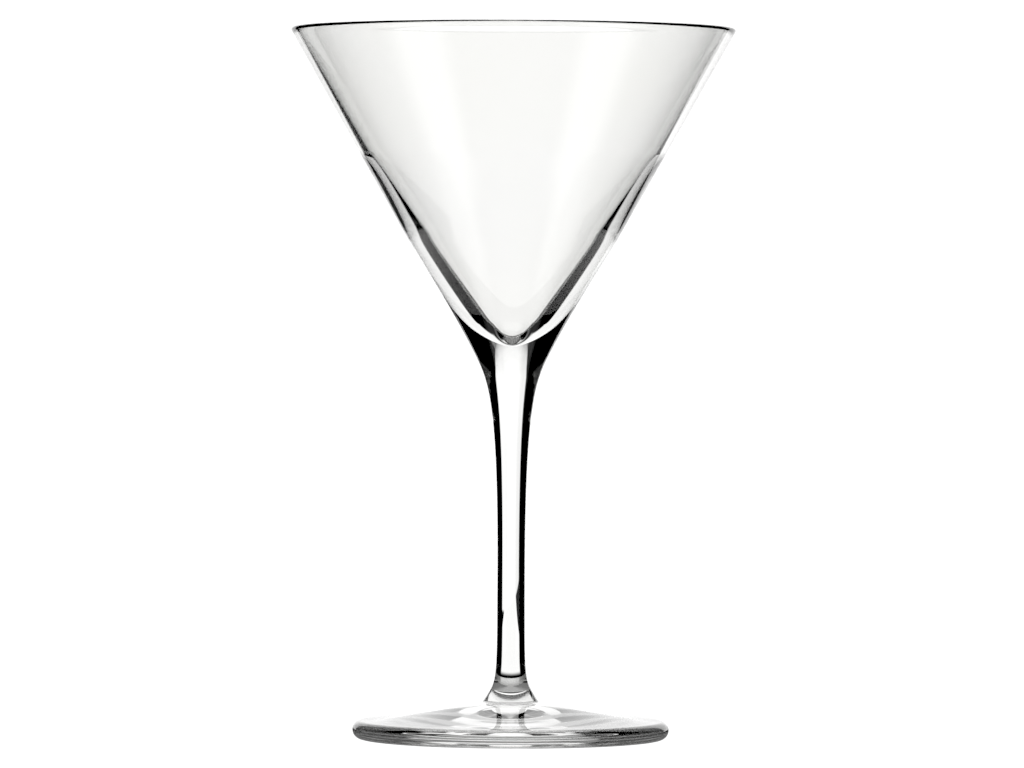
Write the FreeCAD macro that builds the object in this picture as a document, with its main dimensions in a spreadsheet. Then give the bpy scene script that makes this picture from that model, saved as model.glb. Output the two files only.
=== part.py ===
"""Martini glass: a clear conical bowl on a slender drawn stem and a flat round foot.

Long-stemmed cocktail glass, made the way stemware is made: three pieces of clear glass, shaped
separately and joined while hot.

  foot   shallow cone with a rounded edge, standing on a narrow ring round a hollowed underside
  stem   solid rod with a slight waist, flaring at both ends into its neighbours
  bowl   thin conical cup with a fire-polished lip and a thick, solid base under the drink

Every piece is a body of revolution about +Z. The pieces meet face to face at two flat fused joints,
the foot seam and the bowl seam, where both sides share the radius and the slope of the outline, so
the finished glass runs on without a step.

Frame: millimetres, +Z up, origin at the centre of the circle that the foot stands on.
"""

import FreeCAD
import Part
import math
import os
import sys

import Sketcher

PARTS_FOLDER = "parts"

# Driving dimensions, in millimetres. A slope is millimetres of radius for each millimetre of height,
# and a fall is the reverse. A pull is how far a curve's handle reaches from its end point.
DIMENSIONS = {
    # whole glass
    "overall_height": 185.0,
    "rim_diameter": 115.6,
    "foot_diameter": 82.3,
    # fused joints between the pieces
    "foot_seam_height": 10.0,
    "foot_seam_radius": 7.05,
    "foot_seam_slope": 0.62,
    "bowl_seam_height": 100.0,
    "bowl_seam_radius": 9.6,
    "bowl_seam_slope": 0.5,
    # foot: standing ring, rounded edge, sloping top and the fillet up to the stem
    "foot_edge_radius": 2.35,
    "standing_ring_width": 5.0,
    "underside_hollow_depth": 0.9,
    "underside_centre_pull": 17.3,
    "underside_ring_pull": 13.7,
    "underside_ring_handle_height": 0.34,
    "foot_top_outer_fall": 0.06,
    "foot_top_outer_pull": 9.0,
    "foot_top_inner_fall": 0.2,
    "foot_top_inner_pull": 9.0,
    "foot_fillet_radius": 12.4,
    "foot_fillet_height": 9.0,
    "foot_fillet_outer_pull": 2.2,
    "foot_fillet_upper_pull": 0.8,
    # stem, with heights counted from the foot seam
    "waist_height": 34.0,
    "waist_radius": 3.58,
    "waist_lower_pull": 31.0,
    "waist_upper_pull": 44.0,
    "foot_flare_pull": 5.7,
    "bowl_flare_pull": 6.6,
    # bowl, with heights counted from the bowl seam: straight wall, lip, curved base, and the hollow
    # with its straight wall and the rounded cup at its bottom
    "wall_slope": 0.564,
    "lip_radius": 0.65,
    "base_curve_height": 31.0,
    "base_curve_upper_pull": 4.8,
    "base_curve_lower_pull": 11.7,
    "hollow_slope": 0.59,
    "hollow_wall_height": 53.0,
    "hollow_wall_pull": 6.0,
    "hollow_cup_height": 9.7,
    "hollow_cup_radius": 7.4,
    "hollow_cup_slope": 0.86,
    "hollow_cup_upper_pull": 3.3,
    "hollow_cup_lower_pull": 1.2,
    "hollow_bottom_height": 4.1,
    "hollow_bottom_pull": 2.6,
}

SHEET = "Dimensions"

# Numbers that Sketcher gives to its axes, and to the ends and the centre of a piece of geometry.
HORIZONTAL_AXIS, VERTICAL_AXIS = -1, -2
ORIGIN = (HORIZONTAL_AXIS, 1)
START, END, CENTRE = 1, 2, 3


class Size:
    """A size with its present value and its formula over the sheet's cells."""

    def __init__(self, value, formula):
        self.value = value
        self.formula = formula

    @staticmethod
    def of(other):
        return other if isinstance(other, Size) else Size(float(other), repr(float(other)))

    def __add__(self, other):
        other = Size.of(other)
        return Size(self.value + other.value, f"({self.formula} + {other.formula})")

    def __sub__(self, other):
        other = Size.of(other)
        return Size(self.value - other.value, f"({self.formula} - {other.formula})")

    def __mul__(self, other):
        other = Size.of(other)
        return Size(self.value * other.value, f"{self.formula} * {other.formula}")

    def __truediv__(self, other):
        other = Size.of(other)
        return Size(self.value / other.value, f"{self.formula} / ({other.formula})")

    def root(self):
        return Size(math.sqrt(self.value), f"sqrt({self.formula})")


class Cells:
    """The driving dimensions by name, as sizes."""

    def __getattr__(self, name):
        return Size(DIMENSIONS[name], f"{SHEET}.{name}")


cells = Cells()


def slant(slope):
    """Length of a sloping line for each millimetre of its height."""
    return (slope * slope + 1.0).root()


class HalfSection:
    """A closed outline on one side of the axis, drawn anticlockwise: radius across, height up.

    Each point is an (r, z) pair of sizes, pinned to the origin by two dimensions that are bound to
    the sheet. None stands for zero, which puts the point on the axis or on the base line.
    """

    def __init__(self, body, first):
        self.sketch = body.newObject("Sketcher::SketchObject", body.Label + "_section")
        plane = next(f for f in body.Origin.OriginFeatures if f.Role == "XZ_Plane")
        self.sketch.AttachmentSupport = [(plane, "")]
        self.sketch.MapMode = "FlatFace"
        self.first = self.here = first
        self.first_end = self.last_end = None

    @staticmethod
    def vector(point):
        r, z = (0.0 if size is None else size.value for size in point)
        return FreeCAD.Vector(r, z, 0)

    def pin(self, geometry, end, point, kinds=("DistanceX", "DistanceY")):
        axes = {"DistanceX": VERTICAL_AXIS, "DistanceY": HORIZONTAL_AXIS}
        for kind, size in zip(("DistanceX", "DistanceY"), point):
            if kind not in kinds:
                continue
            if size is None:
                self.sketch.addConstraint(Sketcher.Constraint("PointOnObject", geometry, end, axes[kind]))
                continue
            index = self.sketch.addConstraint(Sketcher.Constraint(kind, *ORIGIN, geometry, end, size.value))
            self.sketch.setExpression(f"Constraints[{index}]", size.formula)

    def join(self, geometry, start, end):
        """Hang a new stretch on the end of the last one."""
        if self.last_end is None:
            self.first_end = (geometry, start)
            self.pin(geometry, start, self.first)
        else:
            self.sketch.addConstraint(Sketcher.Constraint("Coincident", *self.last_end, geometry, start))
        self.last_end = (geometry, end)

    def line_to(self, point):
        line = Part.LineSegment(self.vector(self.here), self.vector(point))
        geometry = self.sketch.addGeometry(line, False)
        self.join(geometry, START, END)
        self.pin(geometry, END, point)
        self.here = point

    def arc_to(self, centre, point):
        """An arc about a centre, anticlockwise, from the present point to another."""
        middle = self.vector(centre)
        start = self.vector(self.here) - middle
        end = self.vector(point) - middle
        circle = Part.Circle(middle, FreeCAD.Vector(0, 0, 1), start.Length)
        arc = Part.ArcOfCircle(circle, math.atan2(start.y, start.x), math.atan2(end.y, end.x))
        geometry = self.sketch.addGeometry(arc, False)
        self.join(geometry, START, END)
        self.pin(geometry, CENTRE, centre)
        self.pin(geometry, END, point, ("DistanceY",) if abs(end.x) > abs(end.y) else ("DistanceX",))
        self.here = point

    def curve_to(self, first_handle, second_handle, point):
        """A cubic curve with two handles."""
        poles = [self.vector(p) for p in (self.here, first_handle, second_handle, point)]
        curve = Part.BSplineCurve(poles, None, None, False, 3, None, False)
        geometry = self.sketch.addGeometry(curve, False)
        self.sketch.exposeInternalGeometry(geometry)
        self.join(geometry, START, END)
        self.pin(geometry + 2, CENTRE, first_handle)
        self.pin(geometry + 3, CENTRE, second_handle)
        self.pin(geometry, END, point)
        self.here = point

    def close(self):
        """A last straight line back to the first point."""
        line = Part.LineSegment(self.vector(self.here), self.vector(self.first))
        geometry = self.sketch.addGeometry(line, False)
        self.join(geometry, START, END)
        self.sketch.addConstraint(Sketcher.Constraint("Coincident", *self.last_end, *self.first_end))


def make_sheet(doc):
    """The spreadsheet that holds every driving dimension, one named cell a row."""
    sheet = doc.addObject("Spreadsheet::Sheet", SHEET)
    for row, (name, value) in enumerate(DIMENSIONS.items(), start=1):
        sheet.set(f"A{row}", name)
        sheet.set(f"B{row}", str(value))
        sheet.setAlias(f"B{row}", name)
    doc.recompute()


def make_body(doc, name, base_height):
    """An empty body whose own base plane lies at the given height, or on the ground for None."""
    body = doc.addObject("PartDesign::Body", name)
    body.Label = name
    if base_height is not None:
        body.setExpression(".Placement.Base.z", base_height.formula)
    return body


def spin(body, section):
    """Turn a half section into a solid of revolution."""
    revolution = body.newObject("PartDesign::Revolution", body.Label + "_spun")
    revolution.Profile = section.sketch
    revolution.ReferenceAxis = (section.sketch, ["V_Axis"])
    revolution.Angle = 360.0
    section.sketch.Visibility = False
    body.Tip = revolution


def make_foot(doc):
    """Foot: hollowed underside, standing ring, round edge, sloping top and the fillet to the stem."""
    body = make_body(doc, "foot", None)
    edge = cells.foot_edge_radius
    edge_centre = (cells.foot_diameter / 2 - edge, edge)
    ring_inner = edge_centre[0] - cells.standing_ring_width
    seam = (cells.foot_seam_radius, cells.foot_seam_height)
    fillet = (cells.foot_fillet_radius, cells.foot_fillet_height)

    outer_fall = cells.foot_top_outer_fall
    edge_top = (edge_centre[0] + edge * outer_fall / slant(outer_fall), edge + edge / slant(outer_fall))
    outer_handle = (
        edge_top[0] - cells.foot_top_outer_pull,
        edge_top[1] + cells.foot_top_outer_pull * outer_fall,
    )
    inner_handle = (
        fillet[0] + cells.foot_top_inner_pull,
        fillet[1] - cells.foot_top_inner_pull * cells.foot_top_inner_fall,
    )
    fillet_outer_handle = (
        fillet[0] - cells.foot_fillet_outer_pull,
        fillet[1] + cells.foot_fillet_outer_pull * cells.foot_top_inner_fall,
    )
    fillet_upper_handle = (
        seam[0] + cells.foot_fillet_upper_pull * cells.foot_seam_slope,
        seam[1] - cells.foot_fillet_upper_pull,
    )

    depth = cells.underside_hollow_depth
    ring_handle = (ring_inner - cells.underside_ring_pull, cells.underside_ring_handle_height)
    section = HalfSection(body, (None, depth))
    section.curve_to((cells.underside_centre_pull, depth), ring_handle, (ring_inner, None))
    section.line_to((edge_centre[0], None))
    section.arc_to(edge_centre, edge_top)
    section.curve_to(outer_handle, inner_handle, fillet)
    section.curve_to(fillet_outer_handle, fillet_upper_handle, seam)
    section.line_to((None, seam[1]))
    section.close()
    spin(body, section)
    return body


def make_stem(doc):
    """Stem: solid rod from the foot seam up to the bowl seam, narrowest at its waist."""
    body = make_body(doc, "stem", cells.foot_seam_height)
    length = cells.bowl_seam_height - cells.foot_seam_height
    waist = (cells.waist_radius, cells.waist_height)
    lower_flare = (
        cells.foot_seam_radius - cells.foot_flare_pull * cells.foot_seam_slope,
        cells.foot_flare_pull,
    )
    upper_flare = (
        cells.bowl_seam_radius - cells.bowl_flare_pull * cells.bowl_seam_slope,
        length - cells.bowl_flare_pull,
    )

    section = HalfSection(body, (None, None))
    section.line_to((cells.foot_seam_radius, None))
    section.curve_to(lower_flare, (waist[0], waist[1] - cells.waist_lower_pull), waist)
    section.curve_to((waist[0], waist[1] + cells.waist_upper_pull), upper_flare, (cells.bowl_seam_radius, length))
    section.line_to((None, length))
    section.close()
    spin(body, section)
    return body


def make_bowl(doc):
    """Bowl: curved solid base, straight conical wall, round lip and the hollow for the drink."""
    body = make_body(doc, "bowl", cells.bowl_seam_height)
    lip = cells.lip_radius
    lip_centre = (
        cells.rim_diameter / 2 - lip,
        cells.overall_height - cells.bowl_seam_height - lip,
    )

    def wall_radius(height):
        """Radius of the outer wall, a line tangent to the lip, at a height."""
        return lip_centre[0] + (height - lip_centre[1]) * cells.wall_slope + lip * slant(cells.wall_slope)

    def hollow_radius(height):
        """Radius of the hollow's wall, a line tangent to the lip, at a height."""
        return lip_centre[0] + (height - lip_centre[1]) * cells.hollow_slope - lip * slant(cells.hollow_slope)

    seam = (cells.bowl_seam_radius, None)
    seam_handle = (
        seam[0] + cells.base_curve_lower_pull * cells.bowl_seam_slope,
        cells.base_curve_lower_pull,
    )
    wall_foot_height = cells.base_curve_height
    wall_handle_height = wall_foot_height - cells.base_curve_upper_pull
    hollow_wall_height = cells.hollow_wall_height
    hollow_handle_height = hollow_wall_height - cells.hollow_wall_pull
    cup = (cells.hollow_cup_radius, cells.hollow_cup_height)
    cup_slope = cells.hollow_cup_slope
    cup_upper_handle = (
        cup[0] + cells.hollow_cup_upper_pull * cup_slope,
        cup[1] + cells.hollow_cup_upper_pull,
    )
    cup_lower_handle = (
        cup[0] - cells.hollow_cup_lower_pull * cup_slope,
        cup[1] - cells.hollow_cup_lower_pull,
    )
    outer_lip_height = lip_centre[1] - lip * cells.wall_slope / slant(cells.wall_slope)
    inner_lip_height = lip_centre[1] + lip * cells.hollow_slope / slant(cells.hollow_slope)

    section = HalfSection(body, (None, None))
    section.line_to(seam)
    section.curve_to(
        seam_handle,
        (wall_radius(wall_handle_height), wall_handle_height),
        (wall_radius(wall_foot_height), wall_foot_height),
    )
    section.line_to((wall_radius(outer_lip_height), outer_lip_height))
    section.arc_to(lip_centre, (hollow_radius(inner_lip_height), inner_lip_height))
    section.line_to((hollow_radius(hollow_wall_height), hollow_wall_height))
    section.curve_to((hollow_radius(hollow_handle_height), hollow_handle_height), cup_upper_handle, cup)
    section.curve_to(
        cup_lower_handle,
        (cells.hollow_bottom_pull, cells.hollow_bottom_height),
        (None, cells.hollow_bottom_height),
    )
    section.close()
    spin(body, section)
    return body


def check_document(doc, bodies):
    """Stop if any object failed to build or any piece isn't one valid closed solid."""
    for item in doc.Objects:
        if "Invalid" in item.State or "Error" in item.State:
            sys.exit(f"{item.Name} failed: {item.State}")
    for body in bodies:
        shape = body.Shape
        if shape.isNull() or not shape.isValid() or len(shape.Solids) != 1:
            sys.exit(f"{body.Label} isn't one valid solid")


def main():
    doc = FreeCAD.newDocument("martini_glass")
    make_sheet(doc)
    bodies = [make_foot(doc), make_stem(doc), make_bowl(doc)]
    doc.recompute()
    check_document(doc, bodies)

    os.makedirs(PARTS_FOLDER, exist_ok=True)
    for body in bodies:
        body.Shape.exportStep(os.path.join(PARTS_FOLDER, body.Label + ".step"))
        print(f"{body.Label}: {body.Shape.Volume:.0f} cubic mm")


main()
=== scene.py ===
"""Martini glass on a white table, lit from behind the way clear glass is photographed.

The three pieces of glass (bowl, stem, foot) are turned on the axis as closed, finely smoothed solids
at the places that the frame gives. The faces where two pieces are fused together let light pass
straight on, so that the finished glass bends light as one body.
"""

import math

import bmesh
import bpy
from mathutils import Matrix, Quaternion, Vector


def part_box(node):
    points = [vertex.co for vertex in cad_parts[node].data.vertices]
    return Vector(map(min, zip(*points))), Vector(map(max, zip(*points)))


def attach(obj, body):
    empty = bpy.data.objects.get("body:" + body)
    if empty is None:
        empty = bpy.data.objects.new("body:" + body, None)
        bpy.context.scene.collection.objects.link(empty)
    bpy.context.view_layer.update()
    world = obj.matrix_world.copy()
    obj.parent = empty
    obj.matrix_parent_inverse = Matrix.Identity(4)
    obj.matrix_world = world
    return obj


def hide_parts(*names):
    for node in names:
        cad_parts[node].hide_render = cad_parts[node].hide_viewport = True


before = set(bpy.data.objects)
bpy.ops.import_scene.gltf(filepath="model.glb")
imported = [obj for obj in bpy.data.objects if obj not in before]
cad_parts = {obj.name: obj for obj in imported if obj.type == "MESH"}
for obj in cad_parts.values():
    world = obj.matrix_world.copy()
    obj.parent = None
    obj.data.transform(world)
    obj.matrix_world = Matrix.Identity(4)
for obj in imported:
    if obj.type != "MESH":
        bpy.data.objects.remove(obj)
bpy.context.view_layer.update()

MM = 0.001
SPOKES = 256
CURVE_STEPS = 48
ON_AXIS = 1e-9


# ---------------------------------------------------------------- outlines
def curve(start, first_handle, second_handle, end, steps=CURVE_STEPS):
    """Points of a cubic curve after its start, as (radius, height) pairs."""
    points = []
    for step in range(1, steps + 1):
        t = step / steps
        s = 1.0 - t
        weights = (s * s * s, 3 * s * s * t, 3 * s * t * t, t * t * t)
        poles = (start, first_handle, second_handle, end)
        points.append(tuple(sum(w * p[axis] for w, p in zip(weights, poles)) for axis in (0, 1)))
    return points


def line(start, end, steps):
    """Points of a straight line after its start."""
    return [
        tuple(a + (b - a) * step / steps for a, b in zip(start, end))
        for step in range(1, steps + 1)
    ]


def arc(centre, radius, start_angle, end_angle, steps):
    """Points of an arc after its start, anticlockwise."""
    points = []
    for step in range(1, steps + 1):
        angle = start_angle + (end_angle - start_angle) * step / steps
        points.append((centre[0] + radius * math.cos(angle), centre[1] + radius * math.sin(angle)))
    return points


_, BOWL_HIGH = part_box("bowl")
STEM_LOW, STEM_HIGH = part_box("stem")
_, FOOT_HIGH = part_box("foot")

# Radius, height and sideways lean of the outline where two pieces are fused.
BOWL_SEAM = (9.6 * MM, STEM_HIGH.z)
FOOT_SEAM = (7.05 * MM, STEM_LOW.z)
BOWL_SEAM_SLOPE = 0.5
FOOT_SEAM_SLOPE = 0.62

FOOT_EDGE_RADIUS = 2.35 * MM
STANDING_RING_WIDTH = 5.0 * MM
UNDERSIDE_HOLLOW_DEPTH = 0.9 * MM
UNDERSIDE_CENTRE_PULL = 17.3 * MM
UNDERSIDE_RING_PULL = 13.7 * MM
UNDERSIDE_RING_HANDLE_HEIGHT = 0.34 * MM
FOOT_TOP_OUTER_FALL = 0.06
FOOT_TOP_INNER_FALL = 0.2
FOOT_TOP_PULL = 9.0 * MM
FOOT_FILLET = (12.4 * MM, 9.0 * MM)
FOOT_FILLET_OUTER_PULL = 2.2 * MM
FOOT_FILLET_UPPER_PULL = 0.8 * MM

WAIST_RADIUS = 3.58 * MM
WAIST_HEIGHT = 34.0 * MM
WAIST_LOWER_PULL = 31.0 * MM
WAIST_UPPER_PULL = 44.0 * MM
FOOT_FLARE_PULL = 5.7 * MM
BOWL_FLARE_PULL = 6.6 * MM

LIP_RADIUS = 0.65 * MM
LIP_CENTRE = (BOWL_HIGH.x - LIP_RADIUS, BOWL_HIGH.z - LIP_RADIUS)
WALL_SLOPE = 0.564
BASE_CURVE_HEIGHT = 31.0 * MM
BASE_CURVE_UPPER_PULL = 4.8 * MM
BASE_CURVE_LOWER_PULL = 11.7 * MM
HOLLOW_SLOPE = 0.59
HOLLOW_WALL_HEIGHT = 53.0 * MM
HOLLOW_WALL_PULL = 6.0 * MM
HOLLOW_CUP_RADIUS = 7.4 * MM
HOLLOW_CUP_HEIGHT = 9.7 * MM
HOLLOW_CUP_SLOPE = 0.86
HOLLOW_CUP_UPPER_PULL = 3.3 * MM
HOLLOW_CUP_LOWER_PULL = 1.2 * MM
HOLLOW_BOTTOM_HEIGHT = 4.1 * MM
HOLLOW_BOTTOM_PULL = 2.6 * MM


def foot_outline():
    """Underside, standing ring, round edge, sloping top and the fillet up to the stem."""
    edge = FOOT_EDGE_RADIUS
    centre = (FOOT_HIGH.x - edge, edge)
    ring_inner = centre[0] - STANDING_RING_WIDTH
    hollow = (0.0, UNDERSIDE_HOLLOW_DEPTH)
    ring_handle = (ring_inner - UNDERSIDE_RING_PULL, UNDERSIDE_RING_HANDLE_HEIGHT)
    top_angle = math.atan2(1.0, FOOT_TOP_OUTER_FALL)
    edge_top = (centre[0] + edge * math.cos(top_angle), centre[1] + edge * math.sin(top_angle))
    fillet = FOOT_FILLET
    points = [hollow]
    points += curve(hollow, (UNDERSIDE_CENTRE_PULL, hollow[1]), ring_handle, (ring_inner, 0.0))
    points += line(points[-1], (centre[0], 0.0), steps=6)
    points += arc(centre, edge, -math.pi / 2, top_angle, steps=40)
    points += curve(
        edge_top,
        (edge_top[0] - FOOT_TOP_PULL, edge_top[1] + FOOT_TOP_PULL * FOOT_TOP_OUTER_FALL),
        (fillet[0] + FOOT_TOP_PULL, fillet[1] - FOOT_TOP_PULL * FOOT_TOP_INNER_FALL),
        fillet,
    )
    points += curve(
        fillet,
        (fillet[0] - FOOT_FILLET_OUTER_PULL, fillet[1] + FOOT_FILLET_OUTER_PULL * FOOT_TOP_INNER_FALL),
        (FOOT_SEAM[0] + FOOT_FILLET_UPPER_PULL * FOOT_SEAM_SLOPE, FOOT_SEAM[1] - FOOT_FILLET_UPPER_PULL),
        FOOT_SEAM,
    )
    return points


def stem_outline():
    """From the foot seam, in to the waist and out to the bowl seam."""
    waist = (WAIST_RADIUS, FOOT_SEAM[1] + WAIST_HEIGHT)
    points = [FOOT_SEAM]
    points += curve(
        FOOT_SEAM,
        (FOOT_SEAM[0] - FOOT_FLARE_PULL * FOOT_SEAM_SLOPE, FOOT_SEAM[1] + FOOT_FLARE_PULL),
        (waist[0], waist[1] - WAIST_LOWER_PULL),
        waist,
        steps=96,
    )
    points += curve(
        waist,
        (waist[0], waist[1] + WAIST_UPPER_PULL),
        (BOWL_SEAM[0] - BOWL_FLARE_PULL * BOWL_SEAM_SLOPE, BOWL_SEAM[1] - BOWL_FLARE_PULL),
        BOWL_SEAM,
        steps=120,
    )
    return points


def wall_point(slope, side, height):
    """Point of a straight wall that runs up to the lip, at a height above the bowl seam.

    The side is 1 for the outside of the glass and -1 for the hollow.
    """
    z = BOWL_SEAM[1] + height
    radius = LIP_CENTRE[0] + slope * (z - LIP_CENTRE[1]) + side * LIP_RADIUS * math.hypot(1, slope)
    return (radius, z)


def bowl_outside():
    """Curved base, straight wall and round lip."""
    outer_angle = -math.atan(WALL_SLOPE)
    inner_angle = math.pi - math.atan(HOLLOW_SLOPE)
    outer_lip = (
        LIP_CENTRE[0] + LIP_RADIUS * math.cos(outer_angle),
        LIP_CENTRE[1] + LIP_RADIUS * math.sin(outer_angle),
    )
    points = [BOWL_SEAM]
    points += curve(
        BOWL_SEAM,
        (BOWL_SEAM[0] + BASE_CURVE_LOWER_PULL * BOWL_SEAM_SLOPE, BOWL_SEAM[1] + BASE_CURVE_LOWER_PULL),
        wall_point(WALL_SLOPE, 1, BASE_CURVE_HEIGHT - BASE_CURVE_UPPER_PULL),
        wall_point(WALL_SLOPE, 1, BASE_CURVE_HEIGHT),
    )
    points += line(points[-1], outer_lip, steps=40)
    points += arc(LIP_CENTRE, LIP_RADIUS, outer_angle, inner_angle, steps=24)
    return points


def bowl_hollow(lip_end):
    """From the lip down the hollow's straight wall, into its round cup and to the axis."""
    cup = (HOLLOW_CUP_RADIUS, BOWL_SEAM[1] + HOLLOW_CUP_HEIGHT)
    bottom = (0.0, BOWL_SEAM[1] + HOLLOW_BOTTOM_HEIGHT)
    points = line(lip_end, wall_point(HOLLOW_SLOPE, -1, HOLLOW_WALL_HEIGHT), steps=30)
    points += curve(
        points[-1],
        wall_point(HOLLOW_SLOPE, -1, HOLLOW_WALL_HEIGHT - HOLLOW_WALL_PULL),
        (cup[0] + HOLLOW_CUP_UPPER_PULL * HOLLOW_CUP_SLOPE, cup[1] + HOLLOW_CUP_UPPER_PULL),
        cup,
        steps=72,
    )
    points += curve(
        cup,
        (cup[0] - HOLLOW_CUP_LOWER_PULL * HOLLOW_CUP_SLOPE, cup[1] - HOLLOW_CUP_LOWER_PULL),
        (HOLLOW_BOTTOM_PULL, bottom[1]),
        bottom,
    )
    return points


def bowl_outline():
    """From the bowl seam up the outside, over the lip and down the hollow to the axis."""
    outside = bowl_outside()
    return outside + bowl_hollow(outside[-1])


# ---------------------------------------------------------------- shader nodes
def math_node(tree, operation, *inputs):
    """A Math node whose inputs are sockets or numbers."""
    node = tree.nodes.new("ShaderNodeMath")
    node.operation = operation
    for socket, value in zip(node.inputs, inputs):
        if isinstance(value, (int, float)):
            socket.default_value = value
        else:
            tree.links.new(value, socket)
    return node.outputs[0]


def product(tree, *values):
    """All the values multiplied together."""
    total = values[0]
    for value in values[1:]:
        total = math_node(tree, "MULTIPLY", total, value)
    return total


def brightest(tree, *values):
    """The largest of the values."""
    total = values[0]
    for value in values[1:]:
        total = math_node(tree, "MAXIMUM", total, value)
    return total


def ramp(tree, value, start, end, before=0.0, after=1.0):
    """One level before the start, another after the end, and a smooth step between."""
    node = tree.nodes.new("ShaderNodeMapRange")
    node.interpolation_type = "SMOOTHSTEP"
    tree.links.new(value, node.inputs["Value"])
    node.inputs["From Min"].default_value = start
    node.inputs["From Max"].default_value = end
    node.inputs["To Min"].default_value = before
    node.inputs["To Max"].default_value = after
    return node.outputs["Result"]


def band(tree, value, rise, fall):
    """1 between a rise and a fall, each a (start, end) pair, and 0 outside."""
    return product(tree, ramp(tree, value, *rise), ramp(tree, value, *fall, 1.0, 0.0))


def split(tree, vector):
    """The x, y and z sockets of a vector."""
    node = tree.nodes.new("ShaderNodeSeparateXYZ")
    tree.links.new(vector, node.inputs[0])
    return node.outputs


def surface(tree, shader, output_type="ShaderNodeOutputMaterial"):
    """Join a shader node to the tree's surface output."""
    output = tree.nodes.new(output_type)
    tree.links.new(shader.outputs[0], output.inputs["Surface"])


def blank_material(name):
    """A material with an empty node tree."""
    material = bpy.data.materials.new(name)
    material.use_nodes = True
    material.node_tree.nodes.clear()
    return material


# ---------------------------------------------------------------- pieces
GLASS_IOR = 1.52
CLEAREST = (1.0, 1.0, 1.0, 1.0)
TINTED = (0.999, 1.0, 0.982, 1.0)
TINT_SCALE = 20.0
TINT_STRETCH = 1.0
GROUND_HEIGHT = 0.1 * MM
GROUND_ROUGHNESS = 0.25
WAVE_SCALE = 45.0
WAVE_STRETCH = 4.0
WAVE_DEPTH = 0.0005 * MM


def turned_rings(mesh, outline):
    """A ring of points for each point of the outline, or a single point where it meets the axis."""
    rings = []
    for radius, height in outline:
        if radius < ON_AXIS:
            rings.append([mesh.verts.new((0, 0, height))])
            continue
        rings.append([
            mesh.verts.new((
                radius * math.cos(2 * math.pi * spoke / SPOKES),
                radius * math.sin(2 * math.pi * spoke / SPOKES),
                height,
            ))
            for spoke in range(SPOKES)
        ])
    return rings


def smooth_skin(mesh, low, high):
    """Smooth faces between two rings."""
    for spoke in range(SPOKES):
        after = (spoke + 1) % SPOKES
        corners = [
            low[spoke % len(low)],
            low[after % len(low)],
            high[after % len(high)],
            high[spoke % len(high)],
        ]
        face = mesh.faces.new(list(dict.fromkeys(corners)))
        face.smooth = True


def fused_face(mesh, ring):
    """A flat face across a ring, in the second material, with a sharp edge round it."""
    middle = mesh.verts.new((0, 0, ring[0].co.z))
    for start, end in zip(ring, ring[1:] + ring[:1]):
        face = mesh.faces.new([start, end, middle])
        face.material_index = 1
        face.smooth = False
        mesh.edges.get((start, end)).smooth = False


def add_object(name, mesh, materials):
    """Put a finished mesh into the scene."""
    data = bpy.data.meshes.new(name)
    mesh.to_mesh(data)
    mesh.free()
    for material in materials:
        data.materials.append(material)
    item = bpy.data.objects.new(name, data)
    bpy.context.scene.collection.objects.link(item)
    return item


def spin(name, outline, materials, seam_low=False, seam_high=False):
    """Turn an outline on the axis into a closed solid, with fused faces at its open ends."""
    mesh = bmesh.new()
    rings = turned_rings(mesh, outline)
    for low, high in zip(rings, rings[1:]):
        smooth_skin(mesh, low, high)
    for is_open, ring in ((seam_low, rings[0]), (seam_high, rings[-1])):
        if is_open:
            fused_face(mesh, ring)
    bmesh.ops.recalc_face_normals(mesh, faces=mesh.faces)
    return add_object(name, mesh, materials)


def noise(tree, scale, stretch):
    """Soft noise over the piece, stretched along the axis, from 0 to 1."""
    place = tree.nodes.new("ShaderNodeTexCoord")
    mapping = tree.nodes.new("ShaderNodeMapping")
    mapping.inputs["Scale"].default_value = (1.0, 1.0, 1.0 / stretch)
    texture = tree.nodes.new("ShaderNodeTexNoise")
    texture.inputs["Scale"].default_value = scale
    texture.inputs["Detail"].default_value = 1.0
    tree.links.new(place.outputs["Object"], mapping.inputs["Vector"])
    tree.links.new(mapping.outputs[0], texture.inputs["Vector"])
    return texture.outputs[0]


def glass_material():
    """Clear glass with a trace of warm green, faint forming waves, and a ground ring where it stands."""
    material = blank_material("clear_glass")
    tree = material.node_tree
    glass = tree.nodes.new("ShaderNodeBsdfPrincipled")
    glass.inputs["Transmission Weight"].default_value = 1.0
    glass.inputs["IOR"].default_value = GLASS_IOR
    surface(tree, glass)

    tint = tree.nodes.new("ShaderNodeMix")
    tint.data_type = "RGBA"
    tint.inputs["A"].default_value = CLEAREST
    tint.inputs["B"].default_value = TINTED
    tree.links.new(noise(tree, TINT_SCALE, TINT_STRETCH), tint.inputs["Factor"])
    tree.links.new(tint.outputs["Result"], glass.inputs["Base Color"])

    geometry = tree.nodes.new("ShaderNodeNewGeometry")
    _, _, height = split(tree, geometry.outputs["Position"])
    ground = ramp(tree, height, 0.0, GROUND_HEIGHT, GROUND_ROUGHNESS, 0.0)
    tree.links.new(ground, glass.inputs["Roughness"])

    waves = tree.nodes.new("ShaderNodeBump")
    waves.inputs["Strength"].default_value = 1.0
    waves.inputs["Distance"].default_value = WAVE_DEPTH
    tree.links.new(noise(tree, WAVE_SCALE, WAVE_STRETCH), waves.inputs["Height"])
    tree.links.new(waves.outputs[0], glass.inputs["Normal"])
    return material


def fused_material():
    """The flat joint between two pieces, where light passes straight on."""
    material = blank_material("fused_joint")
    tree = material.node_tree
    surface(tree, tree.nodes.new("ShaderNodeBsdfTransparent"))
    return material


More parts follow.
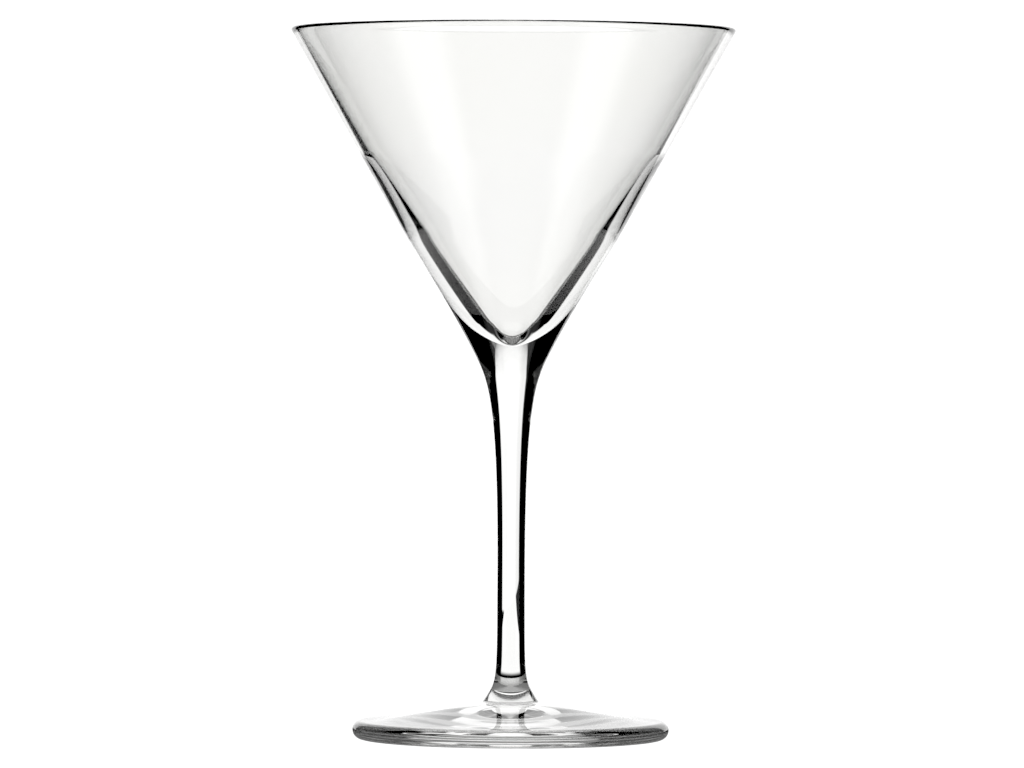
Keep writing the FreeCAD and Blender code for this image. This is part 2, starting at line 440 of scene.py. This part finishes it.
glass, fused = glass_material(), fused_material()
pieces = {
    "foot": spin("foot_glass", foot_outline(), [glass, fused], seam_high=True),
    "stem": spin("stem_glass", stem_outline(), [glass, fused], seam_low=True, seam_high=True),
    "bowl": spin("bowl_glass", bowl_outline(), [glass, fused], seam_low=True),
}
for node, piece in pieces.items():
    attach(piece, "root")
    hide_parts(node)


# ---------------------------------------------------------------- studio
# The studio turns with the camera. Behind the glass, as the camera sees it, stands a white panel. Black
# cards stand at both sides, and a little light comes from behind the camera and from above. The camera
# itself sees plain white round the glass.
#
# Azimuths and elevations are in degrees, and an azimuth is counted to the right from the camera's line
# of sight. A side is an azimuth without its sign. A pair is the start and the end of a smooth step.
PANEL_LEFT_RISE = (-25.2, -23.2)
PANEL_MIDDLE_RISE = (-18, -8)
PANEL_MIDDLE_FALL = (9, 15)
PANEL_RIGHT_FALL = (28, 31)
PANEL_LEFT_LEVEL = 0.86
PANEL_MIDDLE_GAIN = 0.19
PANEL_RIGHT_LEVEL = 0.93

PANEL_FOOT_RISE = (2, 6)
PANEL_FOOT_LEVEL = 0.97
PANEL_TOP_FALL = (40, 60)
PANEL_TOP_LEVEL = 0.3
GLOW_SIDE_FALL = (3, 12)
GLOW_RISE = (2, 6)
GLOW_FALL = (10, 22)
GLOW_GAIN = 0.15

REAR_RISE = (100, 115)
REAR_FALL = (140, 150)
REAR_TOP_FALL = (6, 14)
REAR_LEVEL = 0.2
CEILING_RISE = (55, 75)
CEILING_LEVEL = 0.1
ROOM_RISE = (120, 150)
ROOM_LEVEL = 0.02

# The table, which glows with painted light and shade: distances in metres from the glass's axis,
# straight out, to the right, or ahead.
TABLE_RADIUS = 4.0
TABLE_SIDES = 96
TABLE_GAP = 0.05 * MM
CLEAR_OF_GLASS = (0.065, 0.1)
# A painted reflection of the panel on the far table.
PANEL_SKEW = 0.4
PANEL_DISTANCE = (0.70, 0.75)
PAINTED_PANEL_REFLECTION_LEVEL = 0.97
# A painted lit strip on the table, between the glass and the panel.
LIT_STRIP_LEFT_RISE = (-0.205, -0.19)
LIT_STRIP_RIGHT_FALL = (0.24, 0.255)
LIT_STRIP_AZIMUTH_RISE = (-28.5, -24.5)
LIT_STRIP_AZIMUTH_FALL = (26, 30)
LIT_STRIP_LEVEL = 0.96
# Painted light on the table on the camera's side of the glass.
NEAR_RISE = (95, 115)
NEAR_FALL = (130, 145)
NEAR_LEVEL = 0.8
NEAR_REAR_LEVEL = 0.08
# Painted shade on the table under the foot.
UNDER_FOOT_FALL = (0.04, 0.06)
UNDER_FOOT_LEVEL = 0.4
UNDER_FOOT_SIDE_FALL = (20, 50)
UNDER_FOOT_SIDE_LEVEL = 0.5

# Seen from above, the table under the foot is painted brighter, so more white shows through the foot. A
# slope is the rise of the line of sight.
LOOKING_DOWN_SLOPES = (-0.2, -0.06)
SEEN_THROUGH_FALL = (0.038, 0.055)
SEEN_THROUGH_LEVEL = 0.8


def line_of_sight(tree):
    """The camera's viewing direction, as x, y and z sockets."""
    forward = tree.nodes.new("ShaderNodeVectorTransform")
    forward.vector_type = "VECTOR"
    forward.convert_from, forward.convert_to = "CAMERA", "WORLD"
    forward.inputs[0].default_value = (0, 0, 1)
    return split(tree, forward.outputs[0])


def from_camera(tree, x, y):
    """A horizontal vector as (right, ahead) amounts, as the camera looks."""
    fx, fy, _ = line_of_sight(tree)
    ahead = math_node(tree, "ADD", product(tree, x, fx), product(tree, y, fy))
    right = math_node(tree, "SUBTRACT", product(tree, x, fy), product(tree, y, fx))
    return right, ahead


def azimuth_of(tree, right, ahead):
    """Degrees to the right of the line of sight."""
    return math_node(tree, "DEGREES", math_node(tree, "ARCTAN2", right, ahead))


def panel(tree, azimuth):
    """Light of the white panel behind the glass: full in the middle, softer at both sides."""
    left = math_node(
        tree,
        "ADD",
        ramp(tree, azimuth, *PANEL_LEFT_RISE, 0.0, PANEL_LEFT_LEVEL),
        ramp(tree, azimuth, *PANEL_MIDDLE_RISE, 0.0, PANEL_MIDDLE_GAIN),
    )
    right = product(
        tree,
        ramp(tree, azimuth, *PANEL_MIDDLE_FALL, 1.0, PANEL_RIGHT_LEVEL),
        ramp(tree, azimuth, *PANEL_RIGHT_FALL, 1.0, 0.0),
    )
    return product(tree, left, right)


def white_for_camera(tree, level):
    """White where the camera looks straight at it, and a grey level for every other ray."""
    path = tree.nodes.new("ShaderNodeLightPath")
    return brightest(tree, level, path.outputs["Is Camera Ray"])


def studio_world():
    """Everything above the table: white panel, black sides, soft light from behind and above."""
    world = bpy.data.worlds.new("studio")
    bpy.context.scene.world = world
    world.use_nodes = True
    tree = world.node_tree
    tree.nodes.clear()
    x, y, z = split(tree, tree.nodes.new("ShaderNodeTexCoord").outputs["Generated"])
    azimuth = azimuth_of(tree, *from_camera(tree, x, y))
    side = math_node(tree, "ABSOLUTE", azimuth)
    elevation = math_node(tree, "DEGREES", math_node(tree, "ARCSINE", z))

    glow = product(
        tree,
        ramp(tree, side, *GLOW_SIDE_FALL, GLOW_GAIN, 0.0),
        band(tree, elevation, GLOW_RISE, GLOW_FALL),
    )
    foot = ramp(tree, elevation, *PANEL_FOOT_RISE, PANEL_FOOT_LEVEL, 1.0)
    top = ramp(tree, elevation, *PANEL_TOP_FALL, 1.0, PANEL_TOP_LEVEL)
    white = product(tree, panel(tree, azimuth), product(tree, top, math_node(tree, "ADD", glow, foot)))
    rear = product(
        tree,
        band(tree, side, REAR_RISE, REAR_FALL),
        ramp(tree, elevation, *REAR_TOP_FALL, REAR_LEVEL, 0.0),
    )
    ceiling = ramp(tree, elevation, *CEILING_RISE, 0.0, CEILING_LEVEL)
    room = ramp(tree, side, *ROOM_RISE, 0.0, ROOM_LEVEL)
    level = white_for_camera(tree, brightest(tree, white, rear, ceiling, room))
    background = tree.nodes.new("ShaderNodeBackground")
    tree.links.new(level, background.inputs["Color"])
    surface(tree, background, "ShaderNodeOutputWorld")


def light_ahead(tree, right, ahead, azimuth):
    """Painted light of the table beyond the glass: a painted lit strip, and a painted reflection of the
    panel at its far end.
    """
    panel_line = math_node(tree, "ADD", ahead, product(tree, right, PANEL_SKEW))
    # Painted reflection of the panel, laid on the table past the panel line.
    painted_panel_reflection = product(
        tree,
        ramp(tree, panel_line, *PANEL_DISTANCE),
        panel(tree, azimuth),
        PAINTED_PANEL_REFLECTION_LEVEL,
    )
    # Painted lit strip on the table between the glass and the panel.
    lit_strip = product(
        tree,
        band(tree, right, LIT_STRIP_LEFT_RISE, LIT_STRIP_RIGHT_FALL),
        band(tree, azimuth, LIT_STRIP_AZIMUTH_RISE, LIT_STRIP_AZIMUTH_FALL),
        LIT_STRIP_LEVEL,
    )
    return brightest(tree, painted_panel_reflection, lit_strip)


def light_under_foot(tree, side, reach):
    """Painted light and shade of the table under the foot: painted shade, and painted brighter where the
    camera looks down on it.
    """
    # Painted shade on the table under the foot.
    shaded = product(
        tree,
        ramp(tree, reach, *UNDER_FOOT_FALL, UNDER_FOOT_LEVEL, 0.0),
        ramp(tree, side, *UNDER_FOOT_SIDE_FALL, 1.0, UNDER_FOOT_SIDE_LEVEL),
    )
    slope = line_of_sight(tree)[2]
    # Painted light under the foot when the camera looks down.
    from_above = product(
        tree,
        ramp(tree, reach, *SEEN_THROUGH_FALL, SEEN_THROUGH_LEVEL, 0.0),
        ramp(tree, slope, *LOOKING_DOWN_SLOPES, 1.0, 0.0),
    )
    return brightest(tree, shaded, from_above)


def painted_light_table_material():
    """Glowing table in painted light and shade: a painted lit strip from the glass to the panel, painted
    black beside it, and painted shade under the foot.
    """
    material = blank_material("table_painted_light")
    tree = material.node_tree
    x, y, _ = split(tree, tree.nodes.new("ShaderNodeNewGeometry").outputs["Position"])
    right, ahead = from_camera(tree, x, y)
    azimuth = azimuth_of(tree, right, ahead)
    side = math_node(tree, "ABSOLUTE", azimuth)
    reach = math_node(tree, "SQRT", math_node(tree, "ADD", product(tree, x, x), product(tree, y, y)))

    clear = ramp(tree, reach, *CLEAR_OF_GLASS)
    far = product(tree, light_ahead(tree, right, ahead, azimuth), clear)
    # Painted light on the table on the camera's side of the glass.
    near = product(
        tree,
        ramp(tree, side, *NEAR_RISE),
        ramp(tree, side, *NEAR_FALL, NEAR_LEVEL, NEAR_REAR_LEVEL),
        clear,
    )
    # The table glows: its colour is painted light and shade that turns with the camera, and the camera
    # itself sees plain white.
    level = white_for_camera(tree, brightest(tree, far, near, light_under_foot(tree, side, reach)))
    glow = tree.nodes.new("ShaderNodeEmission")
    tree.links.new(level, glow.inputs["Color"])
    surface(tree, glow)
    return material


def table():
    """A wide round table top just below the foot."""
    mesh = bmesh.new()
    bmesh.ops.create_circle(mesh, cap_ends=True, segments=TABLE_SIDES, radius=TABLE_RADIUS)
    # Its material glows with painted light and shade.
    top = add_object("table", mesh, [painted_light_table_material()])
    top.location.z = -TABLE_GAP


# ---------------------------------------------------------------- camera
EYE_DISTANCE = 1.8
EYE_HEIGHT = 0.118
AIM_HEIGHT = 0.0924
PICTURE_WIDTH = 0.2665
LEAN = math.radians(0.25)
SENSOR_WIDTH = 36.0
FARTHEST_VIEW = 50.0


def camera():
    """Eye at two thirds of the glass's height, looking slightly down, tilted a hair to the side."""
    data = bpy.data.cameras.new("camera")
    data.sensor_width = SENSOR_WIDTH
    data.lens = data.sensor_width * EYE_DISTANCE / PICTURE_WIDTH
    data.clip_end = FARTHEST_VIEW
    eye = bpy.data.objects.new("camera", data)
    bpy.context.scene.collection.objects.link(eye)
    eye.location = (0, -EYE_DISTANCE, EYE_HEIGHT)
    aim = Vector((0, 0, AIM_HEIGHT)) - eye.location
    eye.rotation_mode = "QUATERNION"
    eye.rotation_quaternion = aim.to_track_quat("-Z", "Y") @ Quaternion((0, 0, 1), LEAN)
    bpy.context.scene.camera = eye


studio_world()
table()
camera()

# The picture is developed with deep blacks and clean whites. Light may cross many glass faces.
BLACK_LEVEL = 0.015
WHITE_LEVEL = 0.9
BOUNCES = 32
scene = bpy.context.scene
scene.view_settings.view_transform = "Standard"
scene.view_settings.use_curve_mapping = True
scene.view_settings.curve_mapping.black_level = (BLACK_LEVEL,) * 3
scene.view_settings.curve_mapping.white_level = (WHITE_LEVEL,) * 3
scene.cycles.max_bounces = BOUNCES
scene.cycles.glossy_bounces = BOUNCES
scene.cycles.transmission_bounces = BOUNCES
scene.cycles.transparent_max_bounces = BOUNCES
scene.cycles.use_denoising = True

bpy.context.view_layer.update()
